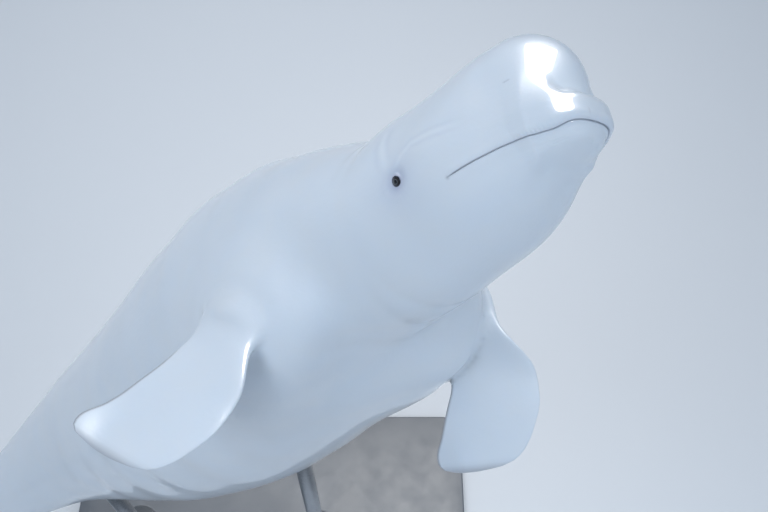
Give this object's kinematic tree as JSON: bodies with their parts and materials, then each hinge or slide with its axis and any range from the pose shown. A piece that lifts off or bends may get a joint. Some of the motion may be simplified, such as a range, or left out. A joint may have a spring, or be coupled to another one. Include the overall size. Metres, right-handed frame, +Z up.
{
  "type": "beluga whale museum model",
  "caption": "Life-size beluga whale rising through the water with its head raised, held on a flat base by two upright rods.",
  "frame": {"origin": "on the floor, under the middle of the stand's base", "axes": "+Z up, +X the way the head leans, +Y away from the camera of the picture"},
  "size_m": [2.8343, 1.3241, 3.6676],
  "materials": {
    "skin": "smooth white skin with a wet sheen",
    "eye": "polished dark brown",
    "base": "satin slate grey paint",
    "rod": "brushed"
  },
  "bodies": {
    "root": {"head": "skin", "neck": "skin", "chest": "skin", "belly": "skin", "tail_stock": "skin", "flipper_right": "skin", "flipper_left": "skin", "fluke_right": "skin", "fluke_left": "skin", "eye_right": "eye", "eye_left": "eye", "stand_base": "base", "stand_rod_front": "rod", "stand_rod_rear": "rod"}
  },
  "joints": []
}
